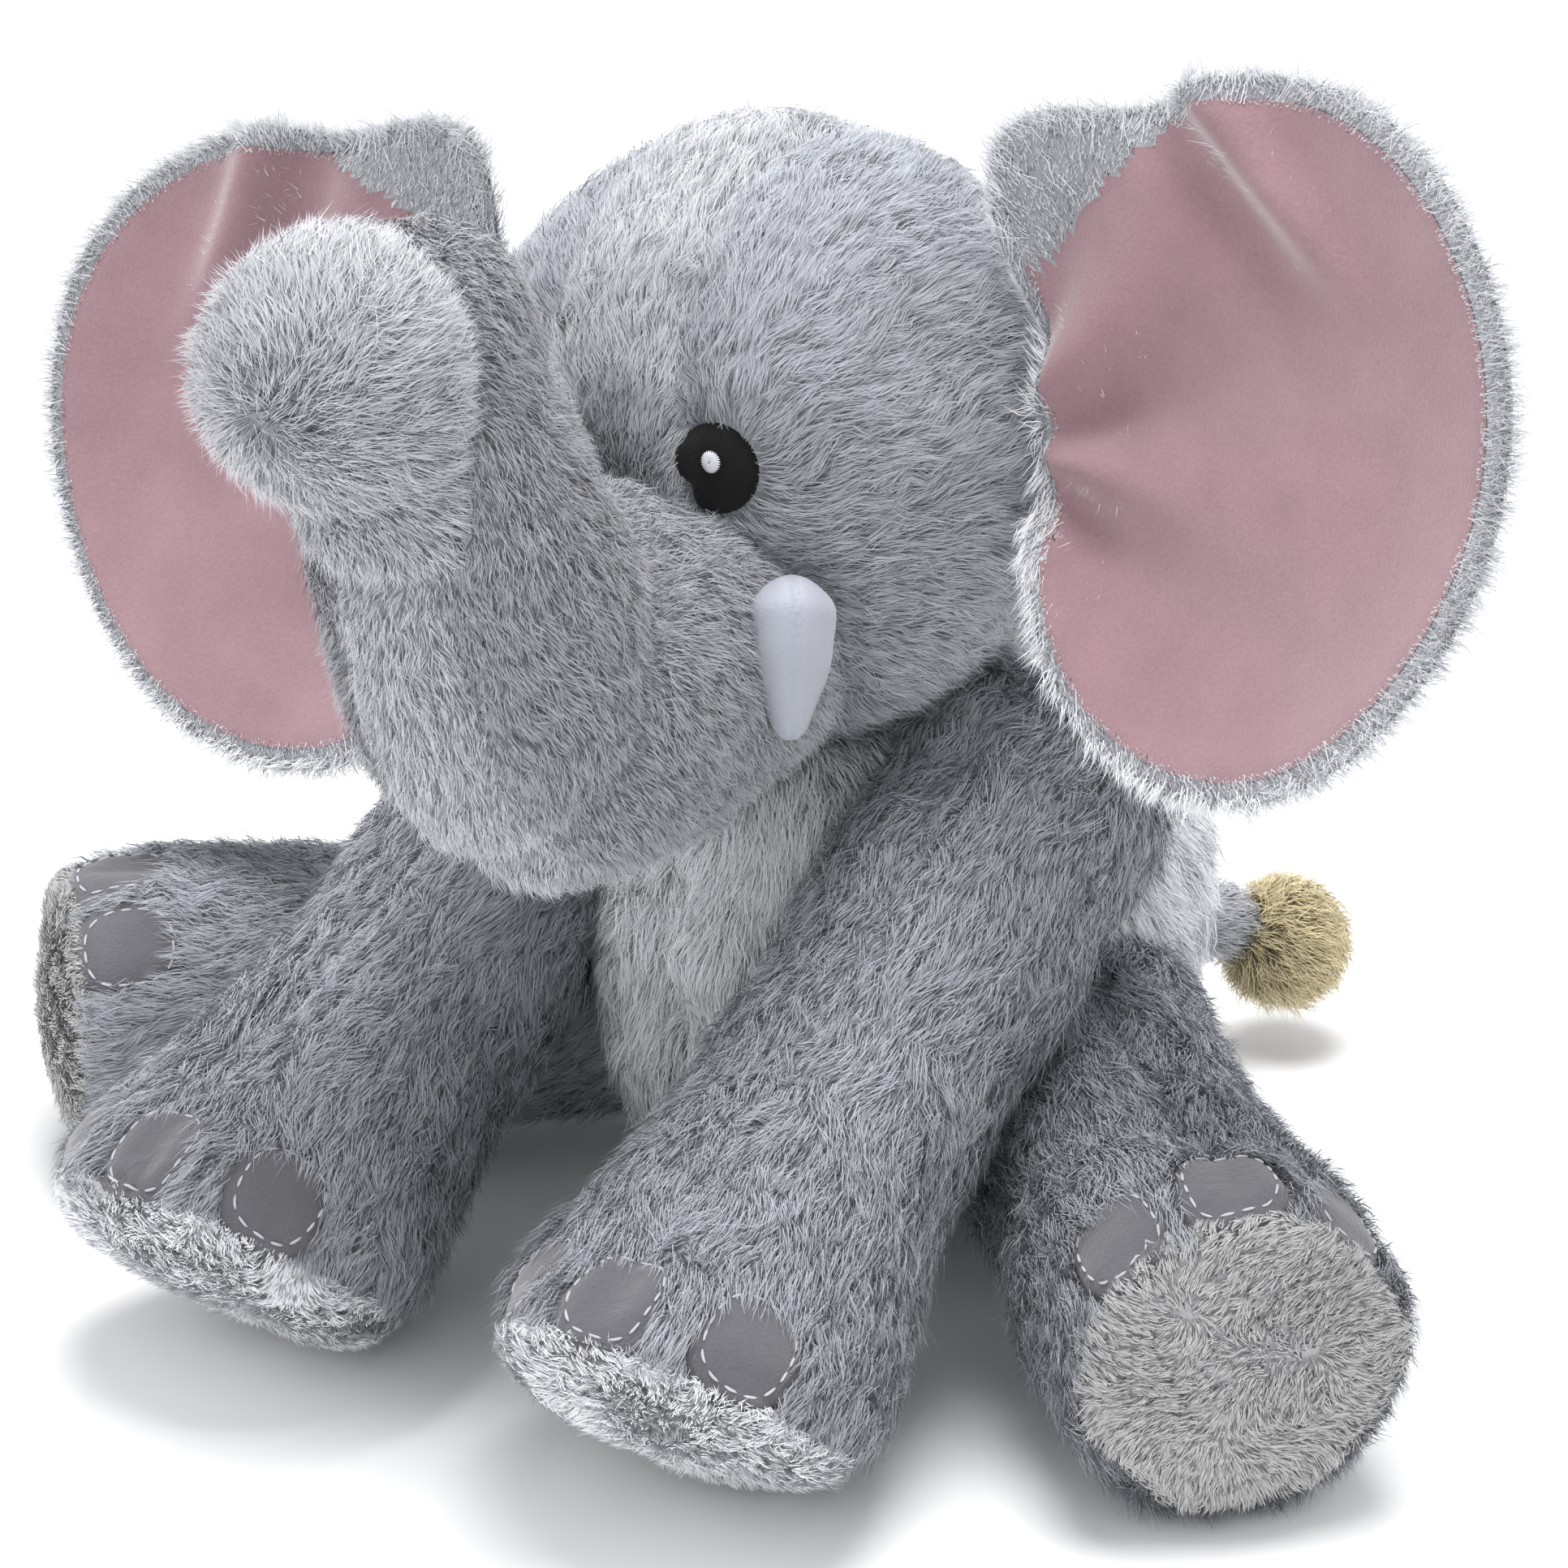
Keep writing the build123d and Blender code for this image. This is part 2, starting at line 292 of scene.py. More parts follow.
BLACK = cloth_shader("black_felt", (0.002, 0.002, 0.002), (0.010, 0.010, 0.011),
                     1500, 0.6, 0.95, 0.05)
NAP = cloth_shader("grey_nap", (0.080, 0.078, 0.088), (0.155, 0.151, 0.166),
                   1500, 0.6, 0.9, 0.4)
SATIN = cloth_shader("white_satin", (0.31, 0.325, 0.375), (0.40, 0.415, 0.47),
                     1600, 0.25, 0.45, 0.3)
THREAD = cloth_shader("pale_thread", (0.42, 0.42, 0.46), (0.62, 0.62, 0.66),
                      4000, 0.3, 0.5, 0.2)
GLINT = cloth_shader("white_thread", (0.55, 0.55, 0.60), (0.78, 0.78, 0.82),
                     4000, 0.3, 0.45, 0.2)
FIBRE = cloth_shader("fibre", (0.62, 0.62, 0.60), (0.82, 0.82, 0.80), 500, 0.8, 0.9, 0.3)


# ------------------------------------------------------------ pile
class Form:
    """A smooth body: its surface, what it is made of, and where its seams run."""

    def __init__(self, nodes, hidden, voxel=0.0021, passes=10, lump=0.0010, seed=1, balls=()):
        self.co, self.tri = grown(list(nodes) + list(hidden), voxel, passes, balls)
        nor = vertex_normals(self.co, self.tri)
        self.co = self.co + nor * (lump * waves(self.co, 0.034, seed))[:, None]
        self.panels = list(nodes)
        centres = self.co[self.tri].mean(1)
        trees = [tree_of(*arrays(NODES[n].data)) for n in self.panels]
        dist = np.array([nearest(t, centres)[0] for t in trees])
        self.owner = dist.argmin(0)
        self.sew(0.0022, 0.004)

    def sew(self, depth, width):
        """Pull the surface in along every seam."""
        n = len(self.co)
        lo, hi = np.full(n, len(self.panels)), np.full(n, -1)
        for k in range(3):
            np.minimum.at(lo, self.tri[:, k], self.owner)
            np.maximum.at(hi, self.tri[:, k], self.owner)
        edge = self.co[(lo != hi) & (hi >= 0)]
        self.seam = np.full(n, FAR)
        if len(edge):
            kd = KDTree(len(edge))
            for i, p in enumerate(edge.tolist()):
                kd.insert(p, i)
            kd.balance()
            self.seam = np.array([kd.find(p)[2] for p in self.co.tolist()])
        nor = vertex_normals(self.co, self.tri)
        self.co = self.co - nor * (depth * np.exp(-(self.seam / width) ** 2))[:, None]
        self.nor = vertex_normals(self.co, self.tri)

    def tree(self):
        return tree_of(self.co, self.tri)

    def part(self, panel):
        """The triangles of one panel."""
        return self.tri[self.owner == self.panels.index(panel)]


def scatter(co, tri, nor, extra, per_mm2, rng):
    """Even random points on triangles, with the normal and extra values there."""
    a, b, c = co[tri[:, 0]], co[tri[:, 1]], co[tri[:, 2]]
    area = np.linalg.norm(np.cross(b - a, c - a), axis=1) / 2
    count = int(area.sum() * 1e6 * per_mm2)
    pick = np.searchsorted(np.cumsum(area) / area.sum(), rng.random(count))
    pick = np.minimum(pick, len(tri) - 1)
    u, v = rng.random(count), rng.random(count)
    flip = u + v > 1
    u[flip], v[flip] = 1 - u[flip], 1 - v[flip]
    w = np.stack([1 - u - v, u, v], 1)
    blend = lambda x: (x[tri[pick]] * w[:, :, None]).sum(1)
    return blend(co), unit(blend(nor)), blend(extra)


STRAND_FACES = np.array([[0, 1, 3], [0, 3, 2], [2, 3, 4]])      # a blade: root, middle, tip
STRAND_ALONG = [0, 0, 0.5, 0.5, 1.0]
STRAND_V = [0.02, 0.02, 0.5, 0.5, 0.98]
STRAND_U = np.array([-0.006, 0.006, -0.005, 0.005, 0])
CELL_KEYS = np.array([1, 4099, 16785407])       # turns a cell's three numbers into one
LOWEST = 0.0004                                 # pile that would pass the ground lies on it


def grow_pile(name, base, tri, comb, keep=None, per_mm2=2.8, length=9.5, width=0.23, lift=0.62,
              clump=3.0, pull=0.60, fall=0.12, wild=0.20, seam_cut=0.45, material=None, seed=5):
    """Strands as tapered blades, rooted on the cloth, combed, and drawn together into tufts."""
    rng = np.random.default_rng(seed)
    extra = base["seam"][:, None]
    p, n, e = scatter(base["co"], tri, base["nor"], extra, per_mm2 * FINE, rng)
    if keep is not None:
        ok = keep(p, n)
        p, n, e = p[ok], n[ok], e[ok]
    if len(p) == 0:
        return None
    grain = comb(p, n)
    grain = grain + 0.35 * np.stack([waves(p, 0.03, seed + k) for k in (1, 2, 3)], 1)
    grain = unit(grain - n * (grain * n).sum(1)[:, None])
    q = p + 0.0012 * np.stack([waves(p, 0.007, seed + k) for k in (4, 5, 6)], 1)
    cell = np.floor(q / (clump * MM)).astype(np.int64)
    _, tuft = np.unique(cell @ CELL_KEYS, return_inverse=True)
    tuft = tuft.ravel()
    tufts = tuft.max() + 1
    size = np.bincount(tuft, minlength=tufts)
    total = np.stack([np.bincount(tuft, p[:, k], tufts) for k in range(3)], 1)
    centre = (total / size[:, None])[tuft]
    lean = rng.normal(0, 0.24, (tufts, 3))[tuft]
    tuft_len = rng.uniform(0.82, 1.15, tufts)[tuft]
    tuft_tone = rng.uniform(0, 1, tufts)[tuft]
    long = length * MM * tuft_len * rng.uniform(0.72, 1.12, len(p))
    long = long * (1 - seam_cut * np.exp(-(e[:, 0] / 0.0035) ** 2))
    out = unit(n * lift + grain * (1 - lift) + wild * rng.normal(0, 1, p.shape))
    along = unit(n * (lift * 0.35) + grain + lean
                 + wild * 0.8 * rng.normal(0, 1, p.shape) + np.array([0, 0, -fall]))
    gather = (centre - p) * pull
    root = p - n * 0.0006
    mid = p + out * (long * 0.5)[:, None] + gather * 0.45
    tip = p + (out * 0.5 + along * 0.5) * long[:, None] + gather
    flat = unit(np.cross(along, n) + 0.5 * rng.normal(0, 1, p.shape))
    half = (width * MM / 2) * rng.uniform(0.75, 1.25, len(p))[:, None]
    co = np.empty((len(p), 5, 3))
    co[:, 0], co[:, 1] = root - flat * half, root + flat * half
    co[:, 2], co[:, 3] = mid - flat * half * 0.85, mid + flat * half * 0.85
    co[:, 4] = tip
    co[:, :, 2] = np.maximum(co[:, :, 2], LOWEST)
    faces = (np.arange(len(p))[:, None, None] * 5 + STRAND_FACES).reshape(-1, 3)
    obj = make_object(name, co.reshape(-1, 3), faces, material)
    me = obj.data
    store(me, "along", np.tile(STRAND_ALONG, len(p)))
    broad = 0.5 + 0.28 * waves(p, 0.045, seed + 9)
    tone = np.clip(0.45 * tuft_tone + 0.25 * rng.random(len(p)) + 0.30 * broad, 0, 1)
    store(me, "tone", np.repeat(tone, 5))
    # normals mostly follow the cloth, so that the pile shades as one soft surface
    soft = unit(n[:, None, :] * 0.75 + 0.35 * unit(np.cross(flat, along))[:, None, :]
                + np.zeros((1, 5, 1)))
    me.normals_split_custom_set_from_vertices(soft.reshape(-1, 3).tolist())
    uv = me.uv_layers.new(name="OFBake")
    u = np.repeat(rng.random(len(p))[:, None] * 0.98 + 0.01, 5, 1)
    u = u + STRAND_U
    v = np.tile(STRAND_V, (len(p), 1))
    corner = faces.ravel()
    places = np.stack([u.ravel()[corner], v.ravel()[corner]], 1)
    uv.data.foreach_set("uv", places.astype(np.float32).ravel())
    return obj


def attach(obj, body, replaced=(), bend=None):
    """Ride a piece on a body, or, given a bend, fix it where it stands on no body; and hide the CAD
    parts it stands for.
    """
    if bend:
        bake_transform(obj)
    else:
        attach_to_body(obj, body)
    if replaced:
        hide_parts(*replaced)


def dress(form, panel, body, slot, comb, cloth=BACKING, pile=PILE, bend=None, keep=None,
          seed=5, **style):
    """One sewn panel: its cloth, and the pile that grows from it."""
    tri = form.part(panel)
    used, back = np.unique(tri, return_inverse=True)
    skin = make_object(panel + "_cloth", form.co[used], back.reshape(-1, 3), cloth)
    attach(skin, body, [panel], bend)
    base = {"co": form.co, "nor": form.nor, "seam": form.seam}
    fur = grow_pile(panel + "_pile", base, tri, comb, keep, material=pile, seed=seed, **style)
    if fur:
        attach(fur, body, (), bend)


def stuffing(name, body):
    """Loose fibre packed into lumps inside the skin."""
    co, tri = grown([name], 0.0035, 3)
    nor = vertex_normals(co, tri)
    dip = 0.0030 + 0.0011 * (1 + waves(co, 0.016, 77)) + 0.0005 * (1 + waves(co, 0.006, 78))
    obj = make_object(name + "_fibre", co - nor * dip[:, None], tri, FIBRE)
    attach(obj, body, [name])


def away_from(point):
    """A comb: pile lies away from a point."""
    at = np.array(point)
    return lambda p, n: unit(p - at)


def along_line(start, end, out):
    """A comb: pile lies along a line, and a little away from its start."""
    d = unit(np.array(end) - np.array(start))
    return lambda p, n: d + out * unit(p - np.array(start))


def uncovered(trees, room):
    """Keeps the roots with nothing of another form close above them."""
    def keep(p, n):
        ok = np.ones(len(p), bool)
        for i, (a, b) in enumerate(zip(p, n)):
            start, way = Vector(a + b * 0.0002), Vector(b)
            for t in trees:
                hit, facing, _, _ = t.ray_cast(start, way, room)
                if hit is not None:
                    ok[i] = False
                    break
        return ok
    return keep


def both(*tests):
    """Keeps the roots that pass every test."""
    return lambda p, n: np.logical_and.reduce([t(p, n) for t in tests])


# ------------------------------------------------------------ patches
def frame_at(point, tree, up):
    """A point on a form with its normal and two directions along the surface."""
    loc, nor, _, _ = tree.find_nearest(Vector(point))
    c, n = np.array(loc), np.array(nor)
    v = unit(np.array(up) - n * np.dot(up, n))
    return c, n, np.cross(v, n), v


def on_patch(place, tree, shape, rise, dome, a, r):
    """A point on a felt scrap, at angle a and share r of the way to its edge."""
    c, n, x, y = place
    w = shape(a) * r
    p = c + x * (math.cos(a) * w) + y * (math.sin(a) * w)
    hit, _, _, _ = tree.ray_cast(Vector(p + n * 0.02), Vector(-n))
    ground = np.array(hit) if hit else p
    edge = 1 - r ** 6
    return ground + n * (rise * (0.25 + 0.75 * edge) + dome * MM * (1 - r * r))


def patch(name, place, tree, shape, rise, material, dome, rings=14, steps=72):
    """A felt scrap laid on a form: its edge dips into the pile, its middle stands up."""
    turns = [2 * math.pi * k / steps for k in range(steps)]
    co = np.array([on_patch(place, tree, shape, rise, dome, a, i / rings)
                   for i in range(rings + 1) for a in turns])
    skirt = co[-steps:] - place[1] * (rise + 0.002)         # goes down into the pile
    return make_object(name, np.vstack([co, skirt]), bands(rings + 1, steps)[:, ::-1], material)


def thread(path, radius, sides=6):
    """A short rounded thread along a few points."""
    path = np.array(path)
    t = unit(np.gradient(path, axis=0))
    ref = np.array([0.31, 0.52, 0.79])
    a = unit(np.cross(t, ref))
    b = np.cross(t, a)
    ang = np.arange(sides) * 2 * math.pi / sides
    fat = radius * np.sqrt(np.clip(1 - np.linspace(-0.96, 0.96, len(path)) ** 4, 0, 1))
    round_it = a[:, None] * np.cos(ang)[None, :, None] + b[:, None] * np.sin(ang)[None, :, None]
    co = path[:, None] + fat[:, None, None] * round_it
    return co.reshape(-1, 3), bands(len(path) - 1, sides)


def threads(name, paths, radius, material):
    """Many short threads as one piece."""
    cos, fcs, count = [], [], 0
    for path in paths:
        c, f = thread(path, radius)
        cos.append(c)
        fcs.append(f + count)
        count += len(c)
    return make_object(name, np.vstack(cos), np.vstack(fcs), material)


def outside(places):
    """Keeps roots that lie outside every patch."""
    def keep(p, normal):
        ok = np.ones(len(p), bool)
        turns = np.linspace(-math.pi, math.pi, 65)
        for (c, n, x, y), shape, margin in places:
            d = p - c
            a = np.arctan2(d @ y, d @ x)
            r = np.hypot(d @ x, d @ y)
            edge = np.interp(a, turns, np.array([shape(t) for t in turns]))
            ok &= ~((r < edge * margin) & (np.abs(d @ n) < 0.02))
        return ok
    return keep


# ------------------------------------------------------------ head and trunk
neck = joint_at("neck_nod")
elbow = joint_at("trunk_bend")
side_axis = np.array(JOINT["trunk_bend"]["axis"], float)
head_up = np.cross(side_axis, BACKWARD)
head_mid = (middle("head_left") + middle("head_right")) / 2
tip_mid = middle("trunk_tip")
HEAD_PANELS = ["head_left", "head_right", "head_gusset",
               "muzzle_left", "muzzle_right", "muzzle_underside",
               "trunk_left", "trunk_right", "trunk_underside", "trunk_tip"]
# Filler balls that round out the root of the trunk: back, up, to the side, and radius.
JOWL = [(elbow, 0.0285)]
JOWL += [(elbow + BACKWARD * y - head_up * down, radius) for y, down, radius in
         ((0.012, 0.007, 0.0315), (0.035, 0.005, 0.0320), (0.055, 0.002, 0.0330))]
JOWL += [(elbow + BACKWARD * 0.024 + head_up * 0.010, 0.0275)]
JOWL += [(elbow + BACKWARD * 0.026 - head_up * 0.001 + side_axis * x, 0.0240)
         for x in (0.010, -0.010)]
head = Form(HEAD_PANELS, ["head_stuffing", "trunk_stuffing"], voxel=0.0022, passes=14, seed=3,
            balls=JOWL)
head_tree = head.tree()
toward_tip = unit(tip_mid - elbow)
# The panels at the elbow, between the head's body and the trunk's, are fixed where they stand on
# neither body.
BEND = ("head", "trunk", tuple(elbow - toward_tip * 0.012), tuple(elbow + toward_tip * 0.022))


def bean(radius, notch, at):
    """A round outline with one bite out of it."""
    def shape(a):
        d = (a - at + math.pi) % (2 * math.pi) - math.pi
        return radius * (1 - notch * math.exp(-(d / 0.42) ** 2))
    return shape


eye_places = []
SPOKES, SPOKE_LENGTH = 26, 0.0023
for side, name in SIDES:
    spot = middle("eye_" + name) - side_axis * side * 0.0040 + head_up * 0.0005
    place = frame_at(spot, head_tree, head_up)
    shape = bean(0.0094, 0.30, math.pi * (1.17 if side > 0 else -0.17))
    eye = patch("eye_%s_felt" % name, place, head_tree, shape, 0.0034, BLACK, dome=0.8)
    attach(eye, "head", ["eye_" + name])
    eye_places.append((place, shape, 0.84))
    c, n, x, y = place
    spot = middle("eye_glint_" + name) - middle("eye_" + name)
    gx, gy = np.dot(spot, x), np.dot(spot, y)
    g = c + x * gx * 0.9 + y * gy * 0.8 + n * 0.0047
    spokes = []
    for k in range(SPOKES):
        a = 2 * math.pi * k / SPOKES
        d = x * math.cos(a) + y * math.sin(a)
        spokes.append([g + d * (SPOKE_LENGTH * t) + n * (0.0006 * math.cos(t * 1.5))
                       for t in np.linspace(0.08, 1, 5)])
    obj = threads("eye_glint_%s_threads" % name, spokes, 0.00026, GLINT)
    attach(obj, "head", ["eye_glint_" + name])

no_eyes = outside(eye_places)
face = elbow + np.array([0, 0.030, 0.0])


def head_comb(p, n):
    """Pile lies back from the face, and out from each eye close to it."""
    out = unit(p - face) + np.array([0, 0.25, -0.10])
    for (c, m, x, y), _, _ in eye_places:
        d = p - c
        r = np.linalg.norm(d, axis=1)
        out = out + unit(d) * (2.2 * np.exp(-(r / 0.014) ** 2))[:, None]
    return out


def gusset_comb(p, n):
    """Up and back over the forehead."""
    return head_up * 1.0 + np.array([0, 0.9, 0])


def trunk_comb(p, n):
    """Down the trunk towards the face, fluffed outwards."""
    return unit(elbow - tip_mid) * 0.9 + 0.5 * unit(p - elbow) + np.array([0, 0.1, -0.3])


def tip_comb(p, n):
    """Out from the middle of the tip, with a slight whirl."""
    hub = tip_mid + np.array([0.002, -0.03, 0.004])
    d = unit(p - hub)
    return d + 0.5 * np.cross(np.array([0, -1.0, 0]), d)


HEAD_STYLE = dict(length=9.5, lift=0.46, per_mm2=3.2, wild=0.15, clump=3.6)
for side, name in SIDES:
    dress(head, "head_" + name, "head", "pile_grey", head_comb, keep=no_eyes, seed=11 + side,
          **HEAD_STYLE)
    dress(head, "muzzle_" + name, "head", "pile_grey", trunk_comb, pile=PILE_PAINTED_SHADE, bend=BEND,
          keep=no_eyes, seed=21 + side, length=7.5, lift=0.60, per_mm2=3.4, wild=0.24, clump=2.6)
    dress(head, "trunk_" + name, "trunk", "pile_grey", trunk_comb, pile=PILE_PAINTED_SHADE, bend=BEND,
          seed=31 + side, length=7.0, lift=0.62, per_mm2=3.5, wild=0.25, clump=2.6)
dress(head, "head_gusset", "head", "pile_light", gusset_comb, pile=PILE_LIGHT, keep=no_eyes,
      seed=41, **HEAD_STYLE)
dress(head, "muzzle_underside", "head", "pile_light", trunk_comb, pile=PILE_LIGHT, bend=BEND,
      seed=42, length=8.0)
dress(head, "trunk_underside", "trunk", "pile_light", trunk_comb, pile=PILE_LIGHT, bend=BEND,
      seed=43, length=8.0)
# The trunk tip takes the pale pile to brighten its shaded end: painted light.
dress(head, "trunk_tip", "trunk", "pile_light", tip_comb, pile=PILE_LIGHT, bend=BEND, seed=44,
      length=9.5, lift=0.62, per_mm2=3.6, wild=0.24)

# ------------------------------------------------------------ tusks
TUSK_SCALE, TUSK_TURN = 1.12, 0.27          # against the CAD solid; the turn in radians
for side, name in SIDES:
    co, tri = grown(["tusk_" + name, "tusk_filling_" + name], 0.0007, 10)
    c = co.mean(0)
    nor = vertex_normals(co, tri)
    long_way = unit(np.linalg.svd(co - c, full_matrices=False)[2][0])
    outward = unit(c - head_mid - long_way * np.dot(c - head_mid, long_way))
    across = np.cross(long_way, outward)
    off = (co - c) @ across                 # from the seam down the front
    front = ((co - c) @ outward) > 0
    long_way = long_way if long_way[2] > 0 else -long_way
    run = (co - c) @ long_way
    t = (run - run.min()) / (run.max() - run.min())
    # thinner than the solid at the low end, and fuller above it
    full = 0.80 + 0.36 * ramp(t, 0.0, 0.55) - 0.14 * ramp(t, 0.80, 1.0)
    co = c + np.outer(run, long_way) + (co - c - np.outer(run, long_way)) * full[:, None]
    co = co - nor * (0.0005 * np.exp(-(off / 0.0006) ** 2) * front)[:, None]
    co = co + nor * (0.00015 * waves(co, 0.012, 66))[:, None]
    co = c + TUSK_SCALE * (co - c) + TUSK_TURN * side * np.cross(outward, co - c)
    co = co - side_axis * side * 0.003 + head_up * 0.002
    tusk = make_object("tusk_%s_satin" % name, co, tri, SATIN)
    attach(tusk, "head", ["tusk_" + name, "tusk_filling_" + name])

# ------------------------------------------------------------ limbs
LIMBS = []
for side, name in SIDES:
    for limb, joint in (("arm", "swing"), ("leg", "splay")):
        body = "%s_%s" % (limb, name)
        panels = [body + "_outer", body + "_inner", body + "_sole"]
        form = Form(panels, [body + "_stuffing"], passes=10, seed=7 if side > 0 else 8)
        lo, hi = (np.array(v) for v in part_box(body + "_sole"))
        sole = form.part(body + "_sole")
        used = np.unique(sole)
        faces_out = unit(form.nor[used].sum(0))
        d = form.co[used] - (lo + hi) / 2
        flat = d - np.outer(d @ faces_out, faces_out)
        far = np.linalg.norm(flat, axis=1)
        # the sole domes out, and nothing passes the ground
        puff, round_off = (0.009, 4) if limb == "arm" else (0.006, 2)
        rise = puff * np.clip(1 - (far / np.quantile(far, 0.98)) ** round_off, 0, 1)
        form.co[used] += faces_out * rise[:, None]
        form.co[:, 2] = np.maximum(form.co[:, 2], 0.0006)
        form.nor = vertex_normals(form.co, form.tri)
        LIMBS.append((limb, side, body, joint_at("%s_%s" % (body, joint)), form))

chest = joint_at("neck_turn")
# Filler balls that fill out the chest.
PUFF = [(chest + np.array([0, y, z]), radius) for y, z, radius in
        ((-0.020, -0.046, 0.027), (-0.022, -0.070, 0.030), (-0.014, -0.094, 0.034))]
torso = Form(["torso_left", "torso_right"], ["torso_stuffing"], voxel=0.0024, passes=12,
             lump=0.0016, seed=9, balls=PUFF)
torso_tree = torso.tree()
limb_trees = {body: form.tree() for _, _, body, _, form in LIMBS}


def oval(half_w, half_l, square=2.7):
    """A nail's outline: an oval with fuller corners."""
    def shape(a):
        wide, tall = abs(math.cos(a) / half_w), abs(math.sin(a) / half_l)
        return (wide ** square + tall ** square) ** (-1 / square)
    return shape


NAIL, NAIL_RISE, NAIL_DOME = oval(0.0112, 0.0125), 0.0022, 0.4
STITCHES = 15
for limb, side, body, hinge, form in LIMBS:
    tree = limb_trees[body]
    sole_mid = middle(body + "_sole")
    down = unit(sole_mid - hinge)
    places = []
    for k in (1, 2, 3):
        nail_node = "%s_nail_%d" % (body, k)
        place = frame_at(middle(nail_node) + down * 0.0025, tree, -down)
        nail = patch("%s_nap" % nail_node, place, tree, NAIL, NAIL_RISE, NAP, NAIL_DOME)
        attach(nail, body, [nail_node])
        places.append((place, NAIL, 0.93))
        dashes = []
        for i in range(STITCHES):
            a0 = 2 * math.pi * (i + 0.18) / STITCHES
            a1 = 2 * math.pi * (i + 0.82) / STITCHES
            dashes.append([on_patch(place, tree, NAIL, NAIL_RISE, NAIL_DOME, a, 0.80)
                           + place[1] * 0.0002 for a in np.linspace(a0, a1, 5)])
        stitch = threads("%s_stitches" % nail_node, dashes, 0.00032, THREAD)
        attach(stitch, body)
    comb = along_line(hinge, sole_mid, 0.15)
    keep = both(outside(places), uncovered([torso_tree], 0.010))
    for k, panel in enumerate(("outer", "inner")):
        dress(form, "%s_%s" % (body, panel), body, "pile_grey", comb, keep=keep,
              seed=60 + 10 * k + side, length=10.5, lift=0.42, per_mm2=2.8, clump=4.0, pull=0.68,
              wild=0.16)
    # The front soles take the paler grey pile, not the sole pile: painted light on soles that sit
    # in shade.
    dress(form, body + "_sole", body, "sole_cloth", away_from(sole_mid + down * -0.02),
          cloth=BACKING_SOLE, pile=PILE_PAINTED_LIGHT if limb == "arm" else PILE_SOLE, seed=80 + side,
          length=4.6, lift=0.62, per_mm2=3.8, clump=3.2, wild=0.16, width=0.34, pull=0.5)
    stuffing(body + "_stuffing", body)

# ------------------------------------------------------------ torso
def torso_comb(p, n):
    return unit(p - chest) + np.array([0, 0, -0.5])


keep_torso = uncovered(list(limb_trees.values()), 0.008)
for side, name in SIDES:
    # The torso's grey pile is painted paler: painted light on a body shaded by the head and arms.
    dress(torso, "torso_" + name, "torso", "pile_grey", torso_comb, keep=keep_torso, seed=90 + side,
          pile=PILE_PAINTED_LIGHT, length=12.0, lift=0.46, per_mm2=2.8, clump=4.0, pull=0.66, wild=0.16)
for body in ("torso", "head", "trunk", "neck"):
    stuffing(body + "_stuffing", body)


# ------------------------------------------------------------ ears
DISH_RADIUS, EAR_THICK = 0.185, 0.0075


